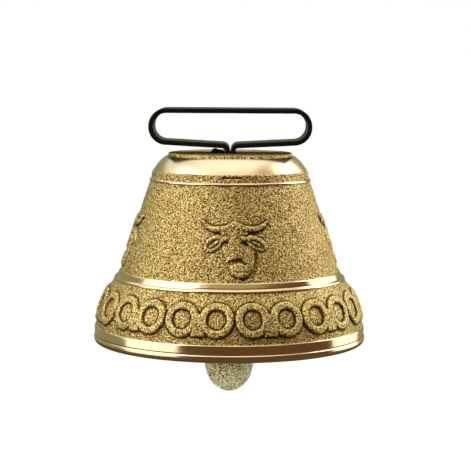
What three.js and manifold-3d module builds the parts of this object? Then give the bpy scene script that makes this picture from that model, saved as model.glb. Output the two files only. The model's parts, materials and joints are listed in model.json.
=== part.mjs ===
// A cowbell: a cast brass bell hung from a bent steel strap loop, with a clapper on a link inside it.
// Millimetres, +Z up. The origin is the strap's seat, the middle of the underside of the loop's top bar.
// The loop lies in the XZ plane, the strap runs through it along Y, and -Y is the bell's front.

import * as THREE from "three";
import { mergeVertices } from "three/addons/utils/BufferGeometryUtils.js";
import Module from "manifold-3d";

// ---- Strap loop: one flat steel strip ----
const STRIP_THICKNESS = 2.0;
const STRIP_WIDTH = 20.0;
const LOOP_INNER_WIDTH = 63.1; // room for a 60 mm strap
const LOOP_INNER_HEIGHT = 10.7; // at the round ends
const LOOP_SAG = 1.7; // how far the lower bars drop on their way to the neck
const NECK_HEIGHT = 2.0; // from the lower bars to the crown
const NECK_BEND_RADIUS = 2.0; // to the middle of the strip, at every tight bend
const LEG_GAP = 0.4; // between the two legs in the neck
const CLEVIS_GAP = 8.4; // between the legs where the link hangs
const LEG_END = 5.0; // strip left below the hanger pin's axis

// ---- Bell ----
const BELL_HEIGHT = 78.6;
const MOUTH_RADIUS = 56.6;
const SKIRT_HEIGHT = 26.2; // from the mid band down to the mouth
const SKIRT_FLARE = 7.9; // growth in radius over that height
const MID_BAND_HEIGHT = 3.7;
const MID_BAND_FLARE = 2.45;
const MID_BAND_STRIP_HEIGHT = 2.4; // strip above the bead
const BODY_TOP_RADIUS = 33.2;
const COLLAR_HEIGHT = 4.3; // rough collar and the turned line under it
const COLLAR_INSET = 0.6;
const TURNED_LINE_HEIGHT = 1.1;
const TURNED_LINE_PROUD = 0.25;
const SHOULDER_HEIGHT = 6.3;
const SHOULDER_INSET = 1.1; // shoulder's lower edge, inside the body's top edge
const BOSS_HEIGHT = 1.2;
const BOSS_INSET = 7.5; // boss edge, inside the body's top edge
const RIM_BAND_HEIGHT = 7.0;
const RIM_BAND_PROUD = 0.5;
const RIM_STEP_HEIGHT = 3.2; // lower part of the rim band
const RIM_STEP_PROUD = 0.3;
const RIM_CHAMFER = 0.6;
const PROFILE_EDGE = 0.2; // height of the bevel where one band meets the next
const CROWN_THICKNESS = 4.0;
const CROWN_FILLET = 12.0; // inside, between the crown and the wall
const WALL = 3.5;
const LIP_WALL = 4.6;
const BELL_SEGMENTS = 48;

// ---- Relief on the bell ----
const RELIEF_HEIGHT = 0.9;
const FRIEZE_RINGS = 24;
const FRIEZE_HEIGHT = 16.5; // ring centres above the mouth
const FRIEZE_TURN = 0.5; // share of a ring's pitch between a head's middle and the next ring
const RING_RADIUS = 5.15;
const RING_STROKE = 3.3;
const BELL_TURN = THREE.MathUtils.degToRad(2.5); // the relief's turn about the bell's axis
const HEADS = 4;
const HEAD_HEIGHT_ABOVE_BAND = 12.4; // head's middle above the mid band
// Lumps of one bull's head: [across, up, half width, half height, tilt in degrees]
const HEAD_LUMPS = {
  brow: [0.0, 5.0, 4.7, 5.4, 0],
  nose: [0.7, -2.4, 3.5, 6.4, -6],
  muzzle: [1.4, -7.6, 3.4, 2.9, -6],
  leftEar: [-7.7, 2.2, 3.6, 2.0, 38],
  rightEar: [8.6, 2.6, 3.8, 1.8, -30],
  leftHorn: [-7.2, 8.4, 3.6, 1.2, -6],
  rightHorn: [7.2, 8.4, 3.6, 1.2, 6],
  leftHornTip: [-11.2, 10.1, 2.4, 0.9, -48],
  rightHornTip: [11.2, 10.1, 2.4, 0.9, 48],
};

// ---- Neck wedge ----
const WEDGE_THICKNESS = 1.2;
const WEDGE_WIDTH = 8.0;
const WEDGE_DEPTH = 3.4; // below the crown's top
const WEDGE_HEAD_LENGTH = 5.4;
const WEDGE_HEAD_HEIGHT = 1.2;
const WEDGE_HUMP_RADIUS = 1.6;
const WEDGE_TIP_THICKNESS = 0.5;
const WEDGE_TAPER_START = 0.5; // below the crown's top

// ---- Crown washer and hanger pin ----
const WASHER_RADIUS = 17.0;
const WASHER_THICKNESS = 2.0;
const WASHER_EDGE = 0.4;
const PIN_RADIUS = 2.5;
const PIN_DROP = 9.3; // pin's axis below the washer
const PIN_HEAD_RADIUS = 4.5;
const PIN_HEAD_HEIGHT = 2.0;
const PIN_EDGE = 0.4; // straight edge of a head, below its dome

// ---- Clapper ----
const LINK_WIRE_RADIUS = 1.7;
const LINK_LENGTH = 11.5; // from the pin's axis to the middle of the lower bar
const LINK_HALF_WIDTH = 6.5; // to the middle of the wire, at the lower bar
const LINK_CORNER_RADIUS = 2.5;
const EYE_WALL = 2.8;
const EYE_THICKNESS = 4.4;
const EYE_EDGE = 0.8;
const ROD_RADIUS = 3.0;
const ROD_EDGE = 0.5;
const ROD_TAPER = 6.0; // from the rod's full width up to the eye
const SOCKET_DEPTH = 13.0; // rod inside the clapper ball
const BALL_RADIUS = 10.4;
const BALL_HALF_HEIGHT = 13.3;
const BALL_BELOW_MOUTH = 8.5; // ball's middle below the mouth
const BALL_COLLAR_RADIUS = 5.4;
const BALL_COLLAR_EDGE = 0.4;

const CLEARANCE = 0.3; // between pieces that seat on, pass through or turn in each other
const CUT_THROUGH = 1.0; // how far a cutting tool runs past the piece that it cuts

// ---- Heights worked out from the sizes above ----
const LOWER_BAR_Z = STRIP_THICKNESS / 2 - LOOP_INNER_HEIGHT - STRIP_THICKNESS; // middle of the strip
const NECK_TOP_Z = LOWER_BAR_Z - LOOP_SAG;
const CROWN_Z = NECK_TOP_Z - STRIP_THICKNESS / 2 - NECK_HEIGHT;
const MOUTH_Z = CROWN_Z - BELL_HEIGHT;
const WASHER_TOP_Z = CROWN_Z - CROWN_THICKNESS - CLEARANCE;
const WASHER_BOTTOM_Z = WASHER_TOP_Z - WASHER_THICKNESS;
const PIN_Z = WASHER_BOTTOM_Z - PIN_DROP;
const LINK_BAR_Z = PIN_Z - LINK_LENGTH;
const BALL_Z = MOUTH_Z - BALL_BELOW_MOUTH;

// ---- Drops below the crown where the bell's profile changes ----
const SHOULDER_END = BOSS_HEIGHT + SHOULDER_HEIGHT;
const BODY_START = SHOULDER_END + COLLAR_HEIGHT;
const BAND_END = BELL_HEIGHT - SKIRT_HEIGHT;
const BODY_END = BAND_END - MID_BAND_HEIGHT;
const SKIRT_END_RADIUS = MOUTH_RADIUS - RIM_STEP_PROUD - RIM_BAND_PROUD;
const BAND_END_RADIUS = SKIRT_END_RADIUS - SKIRT_FLARE;
const BODY_END_RADIUS = BAND_END_RADIUS - MID_BAND_FLARE;

const NECK_HALF_WIDTH = LEG_GAP / 2 + STRIP_THICKNESS;
const CLEVIS_OUTER = CLEVIS_GAP / 2 + STRIP_THICKNESS;

const wasm = await Module();
wasm.setup();

// ---- Solids ----

// Makes a solid of a closed geometry, with shared vertices merged and collapsed triangles left out.
function solid(geometry) {
  const bare = geometry.clone();
  bare.deleteAttribute("normal");
  bare.deleteAttribute("uv");
  const merged = mergeVertices(bare, 1e-4);
  const corners = merged.index.array;
  const kept = [];
  for (let i = 0; i < corners.length; i += 3) {
    const [a, b, c] = [corners[i], corners[i + 1], corners[i + 2]];
    if (a !== b && b !== c && c !== a) kept.push(a, b, c);
  }
  return new wasm.Manifold(new wasm.Mesh({
    numProp: 3,
    vertProperties: new Float32Array(merged.attributes.position.array),
    triVerts: new Uint32Array(kept),
  }));
}

function geometryOf(body) {
  const { vertProperties, triVerts } = body.getMesh();
  const geometry = new THREE.BufferGeometry();
  geometry.setAttribute("position", new THREE.BufferAttribute(new Float32Array(vertProperties), 3));
  geometry.setIndex(new THREE.BufferAttribute(new Uint32Array(triVerts), 1));
  geometry.computeVertexNormals();
  return geometry;
}

function block(low, high) {
  const size = high.map((value, i) => value - low[i]);
  const middle = high.map((value, i) => (value + low[i]) / 2);
  return solid(new THREE.BoxGeometry(...size).translate(...middle));
}

// Turns an outline of [radius, height] points about Z. It runs up the outside and down the inside.
function turned(outline, segments) {
  const points = outline.map(([radius, height]) => new THREE.Vector2(radius, height));
  return new THREE.LatheGeometry(points, segments).rotateX(Math.PI / 2);
}

// Extrudes an outline of [x, z] points along Y, centred on y = 0.
function extruded(outline, width) {
  const shape = new THREE.Shape(outline.map(([x, z]) => new THREE.Vector2(x, z)));
  const geometry = new THREE.ExtrudeGeometry(shape, { depth: width, bevelEnabled: false });
  return geometry.rotateX(Math.PI / 2).translate(0, width / 2, 0);
}

// Replaces each inner corner [x, z, radius] of a path with an arc that touches both sides.
function rounded(corners, stepAngle = Math.PI / 12) {
  const path = [new THREE.Vector2(corners[0][0], corners[0][1])];
  for (let i = 1; i < corners.length - 1; i++) {
    const corner = new THREE.Vector2(corners[i][0], corners[i][1]);
    const back = new THREE.Vector2(corners[i - 1][0], corners[i - 1][1]).sub(corner).normalize();
    const on = new THREE.Vector2(corners[i + 1][0], corners[i + 1][1]).sub(corner).normalize();
    const half = Math.acos(THREE.MathUtils.clamp(back.dot(on), -1, 1)) / 2;
    const radius = corners[i][2];
    const middle = back.clone().add(on).normalize();
    const centre = middle.multiplyScalar(radius / Math.sin(half)).add(corner);
    const start = back.clone().multiplyScalar(radius / Math.tan(half)).add(corner).sub(centre);
    const turn = (Math.PI - 2 * half) * Math.sign(back.cross(on)) * -1;
    const steps = Math.max(2, Math.ceil(Math.abs(turn) / stepAngle));
    for (let k = 0; k <= steps; k++) {
      path.push(start.clone().rotateAround(new THREE.Vector2(0, 0), (turn * k) / steps).add(centre));
    }
  }
  const last = corners[corners.length - 1];
  path.push(new THREE.Vector2(last[0], last[1]));
  return path;
}

// Outline of a strip of even thickness that follows a path.
function stripOutline(path, thickness) {
  const sides = [[], []];
  path.forEach((point, i) => {
    const before = path[Math.max(i - 1, 0)];
    const after = path[Math.min(i + 1, path.length - 1)];
    const into = point.clone().sub(before).normalize();
    const out = after.clone().sub(point).normalize();
    const along = into.clone().add(out).normalize();
    const stretch = thickness / 2 / Math.max(along.dot(i ? into : out), 0.5);
    sides[0].push([point.x - along.y * stretch, point.y + along.x * stretch]);
    sides[1].push([point.x + along.y * stretch, point.y - along.x * stretch]);
  });
  return [...sides[0], ...sides[1].reverse()];
}

// ---- Strap loop ----

function loopPath() {
  const halfWidth = LOOP_INNER_WIDTH / 2 + STRIP_THICKNESS / 2;
  const endRadius = (LOOP_INNER_HEIGHT + STRIP_THICKNESS) / 2;
  const legX = LEG_GAP / 2 + STRIP_THICKNESS / 2;
  const clevisX = CLEVIS_GAP / 2 + STRIP_THICKNESS / 2;
  const spread = clevisX - legX;
  const spreadTopZ = WASHER_BOTTOM_Z - CLEARANCE - NECK_BEND_RADIUS * Math.tan(Math.PI / 8);
  const right = [
    [halfWidth, STRIP_THICKNESS / 2, endRadius],
    [halfWidth, LOWER_BAR_Z, endRadius],
    [legX, NECK_TOP_Z, NECK_BEND_RADIUS],
    [legX, spreadTopZ, NECK_BEND_RADIUS],
    [clevisX, spreadTopZ - spread, NECK_BEND_RADIUS],
    [clevisX, PIN_Z - LEG_END, 0],
  ];
  const left = right.map(([x, z, radius]) => [-x, z, radius]).reverse();
  return rounded([...left, ...right]);
}

function strapLoop() {
  const strip = solid(extruded(stripOutline(loopPath(), STRIP_THICKNESS), STRIP_WIDTH));
  const hole = solid(pinShape(PIN_RADIUS + CLEARANCE, CLEVIS_OUTER + CUT_THROUGH));
  return geometryOf(strip.subtract(hole));
}

// A plain round bar along X through the pin's place.
function pinShape(radius, halfLength) {
  const bar = new THREE.CylinderGeometry(radius, radius, 2 * halfLength, 24);
  return bar.rotateZ(Math.PI / 2).translate(0, 0, PIN_Z);
}

// ---- Bell shell ----

// Outer radius of the plain casting at a drop below the crown, from the body's top to the mouth.
function bellRadius(drop) {
  if (drop <= BODY_END) {
    const share = (drop - BODY_START) / (BODY_END - BODY_START);
    return BODY_TOP_RADIUS + share * (BODY_END_RADIUS - BODY_TOP_RADIUS);
  }
  if (drop <= BAND_END) {
    const share = (drop - BODY_END) / MID_BAND_HEIGHT;
    return BODY_END_RADIUS + share * MID_BAND_FLARE;
  }
  // The skirt is an arc that stands upright at the mouth.
  const arcRadius = (SKIRT_FLARE ** 2 + SKIRT_HEIGHT ** 2) / (2 * SKIRT_FLARE);
  const above = BELL_HEIGHT - drop;
  return SKIRT_END_RADIUS - arcRadius + Math.sqrt(arcRadius ** 2 - above ** 2);
}

function wallAt(drop) {
  const share = THREE.MathUtils.smoothstep(drop, BODY_END, BELL_HEIGHT - RIM_BAND_HEIGHT);
  return WALL + share * (LIP_WALL - WALL);
}

function bellOutside() {
  const collarRadius = BODY_TOP_RADIUS - COLLAR_INSET;
  const shoulderRadius = BODY_TOP_RADIUS - SHOULDER_INSET;
  const bossRadius = BODY_TOP_RADIUS - BOSS_INSET;
  const lineRadius = BODY_TOP_RADIUS + TURNED_LINE_PROUD;
  const bandProud = TURNED_LINE_PROUD;
  const bandSplit = BODY_END + MID_BAND_STRIP_HEIGHT;
  const rimTop = BELL_HEIGHT - RIM_BAND_HEIGHT;
  const rimStep = BELL_HEIGHT - RIM_STEP_HEIGHT;
  const rimRadius = MOUTH_RADIUS - RIM_STEP_PROUD;
  const points = [
    [bossRadius, 0],
    [bossRadius, BOSS_HEIGHT],
  ];
  // The shoulder is a quarter of an ellipse, from just outside the boss down to the collar.
  const shoulderSteps = 2;
  const firstAngle = THREE.MathUtils.degToRad(75);
  const width = shoulderRadius - bossRadius;
  for (let i = 0; i <= shoulderSteps; i++) {
    const angle = firstAngle * (1 - i / shoulderSteps);
    points.push([bossRadius + width * Math.cos(angle), SHOULDER_END - SHOULDER_HEIGHT * Math.sin(angle)]);
  }
  points.push(
    [collarRadius, SHOULDER_END + PROFILE_EDGE],
    [collarRadius + PROFILE_EDGE, BODY_START - TURNED_LINE_HEIGHT],
    [lineRadius, BODY_START - TURNED_LINE_HEIGHT + PROFILE_EDGE],
    [lineRadius, BODY_START - PROFILE_EDGE],
    [BODY_TOP_RADIUS, BODY_START],
    [BODY_END_RADIUS, BODY_END],
    [BODY_END_RADIUS + bandProud, BODY_END + PROFILE_EDGE],
    [bellRadius(bandSplit), bandSplit],
    [bellRadius(bandSplit) + 2 * bandProud, bandSplit + PROFILE_EDGE],
    [BAND_END_RADIUS + bandProud, BAND_END - PROFILE_EDGE],
  );
  const skirtSteps = 4;
  for (let i = 0; i <= skirtSteps; i++) {
    const drop = BAND_END + ((rimTop - BAND_END) * i) / skirtSteps;
    points.push([bellRadius(drop), drop]);
  }
  points.push(
    [rimRadius, rimTop + PROFILE_EDGE],
    [rimRadius, rimStep],
    [MOUTH_RADIUS, rimStep + PROFILE_EDGE],
    [MOUTH_RADIUS, BELL_HEIGHT - RIM_CHAMFER],
    [MOUTH_RADIUS - RIM_CHAMFER, BELL_HEIGHT],
  );
  return points;
}

function bellInside() {
  const lipInner = bellRadius(BELL_HEIGHT) - LIP_WALL;
  const points = [
    [lipInner + RIM_CHAMFER, BELL_HEIGHT],
    [lipInner, BELL_HEIGHT - RIM_CHAMFER],
  ];
  const rimTop = BELL_HEIGHT - RIM_BAND_HEIGHT;
  const skirtSteps = 4;
  for (let i = 0; i <= skirtSteps; i++) {
    const drop = rimTop + ((BODY_END - rimTop) * i) / skirtSteps;
    points.push([bellRadius(drop) - wallAt(drop), drop]);
  }
  // The fillet under the crown meets the body's inner cone without a corner.
  const slope = Math.atan2(BODY_END_RADIUS - BODY_TOP_RADIUS, BODY_END - BODY_START);
  const filletDrop = CROWN_THICKNESS + CROWN_FILLET;
  const endDrop = filletDrop - CROWN_FILLET * Math.sin(slope);
  const filletX = bellRadius(endDrop) - WALL - CROWN_FILLET * Math.cos(slope);
  const filletSteps = 4;
  for (let i = 0; i <= filletSteps; i++) {
    const angle = slope + ((Math.PI / 2 - slope) * i) / filletSteps;
    points.push([filletX + CROWN_FILLET * Math.cos(angle), filletDrop - CROWN_FILLET * Math.sin(angle)]);
  }
  points.push([0, CROWN_THICKNESS]);
  return points;
}

// Matrix of a place on the bell's side: x runs round the bell, y up its side and z out of it.
function placeOnBell(drop, turn) {
  const lean = Math.atan2(bellRadius(drop + 1) - bellRadius(drop - 1), 2);
  return new THREE.Matrix4()
    .makeRotationZ(turn)
    .multiply(new THREE.Matrix4().makeTranslation(0, -bellRadius(drop), CROWN_Z - drop))
    .multiply(new THREE.Matrix4().makeRotationX(Math.PI / 2 - lean));
}

function friezeRing(turn) {
  const tube = RING_STROKE / 2;
  const ring = new THREE.TorusGeometry(RING_RADIUS, tube, 4, 12).translate(0, 0, RELIEF_HEIGHT - tube);
  return solid(ring.applyMatrix4(placeOnBell(BELL_HEIGHT - FRIEZE_HEIGHT, turn)));
}

function headLump([across, up, halfWidth, halfHeight, tilt], turn) {
  const lump = new THREE.SphereGeometry(1, 7, 4).scale(halfWidth, halfHeight, 2 * RELIEF_HEIGHT);
  lump.rotateZ(THREE.MathUtils.degToRad(tilt));
  const drop = BODY_END - HEAD_HEIGHT_ABOVE_BAND - up;
  const aroundBell = turn + across / bellRadius(drop);
  return solid(lump.translate(0, 0, -RELIEF_HEIGHT).applyMatrix4(placeOnBell(drop, aroundBell)));
}

function bellShell() {
  const down = (points) => points.map(([radius, drop]) => [radius, CROWN_Z - drop]);
  const outline = [...down(bellInside()).reverse(), ...down(bellOutside()).reverse(), [0, CROWN_Z]];
  let shell = solid(turned(outline, BELL_SEGMENTS));
  for (let i = 0; i < FRIEZE_RINGS; i++) {
    shell = shell.add(friezeRing(BELL_TURN + (2 * Math.PI * (i + FRIEZE_TURN)) / FRIEZE_RINGS));
  }
  for (let i = 0; i < HEADS; i++) {
    for (const lump of Object.values(HEAD_LUMPS)) {
      shell = shell.add(headLump(lump, BELL_TURN + (2 * Math.PI * i) / HEADS));
    }
  }
  const slotX = NECK_HALF_WIDTH + CLEARANCE;
  const slotY = STRIP_WIDTH / 2 + CLEARANCE;
  const floorZ = CROWN_Z - CROWN_THICKNESS - CUT_THROUGH;
  const topZ = CROWN_Z + CUT_THROUGH;
  const slot = block([-slotX, -slotY, floorZ], [slotX, slotY, topZ]);
  const pocketX = slotX + WEDGE_THICKNESS + CLEARANCE;
  const pocketY = WEDGE_WIDTH / 2 + CLEARANCE;
  const pocket = block([-pocketX, -pocketY, floorZ], [0, pocketY, topZ]);
  return geometryOf(shell.subtract(slot).subtract(pocket));
}

// ---- Neck wedge ----

// The head lies on the crown as a hump with a ramp down to the neck, and the blade goes down the slot.
function neckWedge() {
  const right = -NECK_HALF_WIDTH - CLEARANCE;
  const left = right - WEDGE_THICKNESS;
  const headLeft = right - WEDGE_HEAD_LENGTH;
  const seatZ = CROWN_Z + CLEARANCE;
  const rampFoot = WEDGE_HEAD_HEIGHT / 3;
  const outline = [[right, seatZ + rampFoot]];
  const humpSteps = 6;
  const firstAngle = Math.PI / 4;
  for (let i = 0; i <= humpSteps; i++) {
    const angle = firstAngle + ((Math.PI - firstAngle) * i) / humpSteps;
    const x = headLeft + WEDGE_HUMP_RADIUS * (1 + Math.cos(angle));
    outline.push([x, seatZ + WEDGE_HEAD_HEIGHT * Math.sin(angle)]);
  }
  outline.push(
    [left, seatZ],
    [left, CROWN_Z - WEDGE_TAPER_START],
    [right - WEDGE_TIP_THICKNESS, CROWN_Z - WEDGE_DEPTH],
    [right, CROWN_Z - WEDGE_DEPTH],
  );
  return geometryOf(solid(extruded(outline.reverse(), WEDGE_WIDTH)));
}

// ---- Crown washer and hanger pin ----

function crownWasher() {
  const disc = solid(turned([
    [0, WASHER_BOTTOM_Z],
    [WASHER_RADIUS - WASHER_EDGE, WASHER_BOTTOM_Z],
    [WASHER_RADIUS, WASHER_BOTTOM_Z + WASHER_EDGE],
    [WASHER_RADIUS, WASHER_TOP_Z],
    [0, WASHER_TOP_Z],
  ], 48));
  const slotX = NECK_HALF_WIDTH + CLEARANCE;
  const slotY = STRIP_WIDTH / 2 + CLEARANCE;
  const bottomZ = WASHER_BOTTOM_Z - CUT_THROUGH;
  const slot = block([-slotX, -slotY, bottomZ], [slotX, slotY, WASHER_TOP_Z + CUT_THROUGH]);
  return geometryOf(disc.subtract(slot));
}

function hangerPin() {
  const shank = CLEVIS_OUTER + CLEARANCE;
  const head = [];
  const steps = 3;
  for (let i = 0; i < steps; i++) {
    const angle = (Math.PI / 2) * (i / steps);
    const dome = (PIN_HEAD_HEIGHT - PIN_EDGE) * Math.sin(angle);
    head.push([PIN_HEAD_RADIUS * Math.cos(angle), shank + PIN_EDGE + dome]);
  }
  head.push([0, shank + PIN_HEAD_HEIGHT]);
  const upper = [[PIN_RADIUS, 0], [PIN_RADIUS, shank], [PIN_HEAD_RADIUS, shank], ...head];
  const lower = upper.slice(1).map(([radius, height]) => [radius, -height]).reverse();
  const pin = turned([...lower, ...upper.slice(1)], 20);
  return geometryOf(solid(pin.rotateY(Math.PI / 2).translate(0, 0, PIN_Z)));
}

// ---- Clapper ----

// A closed path in the YZ plane: an arc over the pin, two sides that spread, and a straight lower bar.
function linkPath() {
  const top = PIN_RADIUS + CLEARANCE + LINK_WIRE_RADIUS;
  const arc = [];
  const arcSteps = 10;
  for (let i = 0; i <= arcSteps; i++) {
    const angle = (Math.PI * i) / arcSteps;
    arc.push(new THREE.Vector2(-top * Math.cos(angle), PIN_Z + top * Math.sin(angle)));
  }
  const lower = rounded([
    [top, PIN_Z, 0],
    [LINK_HALF_WIDTH, LINK_BAR_Z, LINK_CORNER_RADIUS],
    [-LINK_HALF_WIDTH, LINK_BAR_Z, LINK_CORNER_RADIUS],
    [-top, PIN_Z, 0],
  ], Math.PI / 9);
  return [...arc, ...lower.slice(1, -1)].map((point) => new THREE.Vector3(0, point.x, point.y));
}

// The wire's rings of vertices are joined one to the next, and the last to the first.
function clapperLink() {
  const points = linkPath();
  const sides = 10;
  const position = [];
  points.forEach((point, i) => {
    const before = points[(i + points.length - 1) % points.length];
    const after = points[(i + 1) % points.length];
    const into = point.clone().sub(before).normalize();
    const along = after.clone().sub(before).normalize();
    const outward = along.clone().cross(new THREE.Vector3(1, 0, 0));
    const stretch = 1 / Math.max(along.dot(into), 0.7);
    for (let k = 0; k < sides; k++) {
      const angle = (2 * Math.PI * k) / sides;
      const place = point.clone().addScaledVector(outward, LINK_WIRE_RADIUS * stretch * Math.cos(angle));
      position.push(place.x + LINK_WIRE_RADIUS * Math.sin(angle), place.y, place.z);
    }
  });
  const index = [];
  for (let i = 0; i < points.length; i++) {
    const next = (i + 1) % points.length;
    for (let k = 0; k < sides; k++) {
      const over = (k + 1) % sides;
      const corner = [i * sides + k, i * sides + over, next * sides + over, next * sides + k];
      index.push(corner[0], corner[2], corner[1], corner[0], corner[3], corner[2]);
    }
  }
  const wire = new THREE.BufferGeometry();
  wire.setAttribute("position", new THREE.BufferAttribute(new Float32Array(position), 3));
  wire.setIndex(index);
  wire.computeVertexNormals();
  return wire;
}

function clapperRod() {
  const hole = LINK_WIRE_RADIUS + CLEARANCE;
  const eyeRadius = hole + EYE_WALL;
  const half = EYE_THICKNESS / 2;
  const eye = turned([
    [hole, -half],
    [eyeRadius - EYE_EDGE, -half],
    [eyeRadius, EYE_EDGE - half],
    [eyeRadius, half - EYE_EDGE],
    [eyeRadius - EYE_EDGE, half],
    [hole, half],
    [hole, -half],
  ], 28).rotateX(Math.PI / 2).translate(0, 0, LINK_BAR_Z);
  const top = LINK_BAR_Z - hole - ROD_EDGE;
  const bottom = BALL_Z + BALL_HALF_HEIGHT - SOCKET_DEPTH;
  const shaft = turned([
    [0, bottom],
    [ROD_RADIUS - ROD_EDGE, bottom],
    [ROD_RADIUS, bottom + ROD_EDGE],
    [ROD_RADIUS, top - ROD_TAPER],
    [half, top],
    [0, top],
  ], 24);
  return geometryOf(solid(eye).add(solid(shaft)));
}

function clapperBall() {
  const outline = [];
  const steps = 10;
  const collarAngle = Math.acos(BALL_COLLAR_RADIUS / BALL_RADIUS);
  for (let i = 0; i <= steps; i++) {
    const angle = -Math.PI / 2 + ((collarAngle + Math.PI / 2) * i) / steps;
    outline.push([BALL_RADIUS * Math.cos(angle), BALL_Z + BALL_HALF_HEIGHT * Math.sin(angle)]);
  }
  outline[0][0] = 0;
  const socket = ROD_RADIUS + CLEARANCE;
  const topZ = BALL_Z + BALL_HALF_HEIGHT;
  const floorZ = topZ - SOCKET_DEPTH - CLEARANCE;
  outline.push([BALL_COLLAR_RADIUS - BALL_COLLAR_EDGE, topZ], [socket, topZ], [socket, floorZ], [0, floorZ]);
  return geometryOf(solid(turned(outline, 24)));
}

// ---- Materials and assembly ----

const brass = new THREE.MeshStandardMaterial({ color: 0xb9a25c, roughness: 0.5, metalness: 1 });
const paleBrass = new THREE.MeshStandardMaterial({ color: 0xb8ab72, roughness: 0.6, metalness: 1 });
const blackSteel = new THREE.MeshStandardMaterial({ color: 0x221a1b, roughness: 0.4, metalness: 0.5 });
const plainSteel = new THREE.MeshStandardMaterial({ color: 0x77777a, roughness: 0.5, metalness: 1 });

const pieces = [
  ["bell_shell", bellShell(), brass],
  ["strap_loop", strapLoop(), blackSteel],
  ["neck_wedge", neckWedge(), blackSteel],
  ["crown_washer", crownWasher(), plainSteel],
  ["hanger_pin", hangerPin(), plainSteel],
  ["clapper_link", clapperLink(), plainSteel],
  ["clapper_rod", clapperRod(), plainSteel],
  ["clapper_ball", clapperBall(), paleBrass],
];

const group = new THREE.Group();
for (const [name, geometry, material] of pieces) {
  const mesh = new THREE.Mesh(geometry, material);
  mesh.name = name;
  group.add(mesh);
}

export default group;
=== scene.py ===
"""Cowbell: the looks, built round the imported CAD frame. Sizes are in millimetres, the studio's in metres."""
import json
import math

import bpy
import numpy as np
from mathutils import Matrix, Vector


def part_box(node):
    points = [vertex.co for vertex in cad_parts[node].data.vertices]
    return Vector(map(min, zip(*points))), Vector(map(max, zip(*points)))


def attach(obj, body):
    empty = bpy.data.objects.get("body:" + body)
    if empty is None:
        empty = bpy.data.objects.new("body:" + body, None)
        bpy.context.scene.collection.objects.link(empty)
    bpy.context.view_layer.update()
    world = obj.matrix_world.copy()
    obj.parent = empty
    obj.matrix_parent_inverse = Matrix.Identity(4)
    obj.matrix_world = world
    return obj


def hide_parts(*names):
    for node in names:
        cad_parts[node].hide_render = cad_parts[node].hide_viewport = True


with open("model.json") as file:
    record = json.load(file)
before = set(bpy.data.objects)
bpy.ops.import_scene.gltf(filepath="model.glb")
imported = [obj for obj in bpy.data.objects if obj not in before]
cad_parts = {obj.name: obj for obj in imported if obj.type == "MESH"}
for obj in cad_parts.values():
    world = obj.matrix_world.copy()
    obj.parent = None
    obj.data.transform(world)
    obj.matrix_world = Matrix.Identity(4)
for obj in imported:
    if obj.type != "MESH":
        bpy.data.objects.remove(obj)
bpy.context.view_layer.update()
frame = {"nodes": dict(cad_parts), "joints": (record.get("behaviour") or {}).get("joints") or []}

MM = 0.001
TAU = 2 * math.pi

# ---- Places taken from the frame ----
shell_low, shell_high = (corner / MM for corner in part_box("bell_shell"))
loop_low, loop_high = (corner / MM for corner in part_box("strap_loop"))
ball_low, ball_high = (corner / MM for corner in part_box("clapper_ball"))
pin_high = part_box("hanger_pin")[1] / MM
washer_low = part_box("crown_washer")[0] / MM
joints = {joint["name"]: joint for joint in frame["joints"]}
PIN_Z = joints["link_swing"]["pos_m"][2] / MM
LINK_BAR_Z = joints["clapper_swing"]["pos_m"][2] / MM

CROWN_Z = shell_high.z
BELL_HEIGHT = shell_high.z - shell_low.z
MOUTH_RADIUS = shell_high.x
FIT_GAP = 0.3  # between pieces that seat on each other

# ---- Mesh: columns round a piece, steps along it, and rows on the crown's flats and the slot's wall ----
COLUMNS = 960
ROUGH_STEP = 0.34
POLISHED_STEP = 0.3
INSIDE_STEP = 1.5
CROWN_ROWS = 28
UNDER_ROWS = 12
SLOT_WALL_DROPS = (3.0, 2.0, 1.0)
STRIP_STEP = 0.45
STRIP_EDGE_STEPS = 4
STRIP_WIDTH_STEPS = 10
ARC_STEP = math.pi / 40
WIRE_SIDES = 24
WIRE_STEP = 0.5
PIN_COLUMNS = 48
BALL_COLUMNS = 180
BALL_ROWS = 90
BALL_COLLAR_STEP = 0.4
ROUGH, POLISHED, INSIDE, SATIN = range(4)  # zones, in the order of the bell's materials

# ---- Bell sizes ----
# A drop is a depth below the crown's top, and a place is (radius, drop). SHOULDER, COLLAR_LINE, BEAD,
# RIM_ROUND and LIP_ROUND are the start, pull and end of a curve, and the rest are corners.
CROWN_FLAT = 15.0  # the rows change from the slot's outline to circles inside this radius
BOSS_RADIUS = 25.7
BOSS_ROUND = 0.8
BOSS_FOOT = ((25.75, 1.15), (25.85, 1.3))
SHOULDER = ((26.0, 1.25), (28.7, 2.1), (31.95, 7.35))
COLLAR = ((32.3, 7.75), (32.5, 9.0), (32.75, 10.45))
COLLAR_LINE_TOP = (32.9, 10.6)
COLLAR_LINE = ((33.15, 10.75), (33.65, 11.15), (33.35, 11.55))
BODY_START = 11.8
BODY_TOP_RADIUS = 33.2
BODY_END = 48.7
BODY_MARGIN = 0.15
SKIRT_TOP = 52.4
SKIRT_MARGIN = 0.2
SKIRT_FULL = 74.0
RIM_TOP = 71.6
RIM_LINE = 75.4
RIM_OVERHANG = 0.8
RIM_STEP = 0.5
SKIRT_FLARE = 7.9
MID_BAND_FLARE = 2.45
SKIRT_END_RADIUS = MOUTH_RADIUS - RIM_OVERHANG
SKIRT_TOP_RADIUS = SKIRT_END_RADIUS - SKIRT_FLARE
BODY_END_RADIUS = SKIRT_TOP_RADIUS - MID_BAND_FLARE
RIM_RADIUS = SKIRT_END_RADIUS + RIM_STEP

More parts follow.
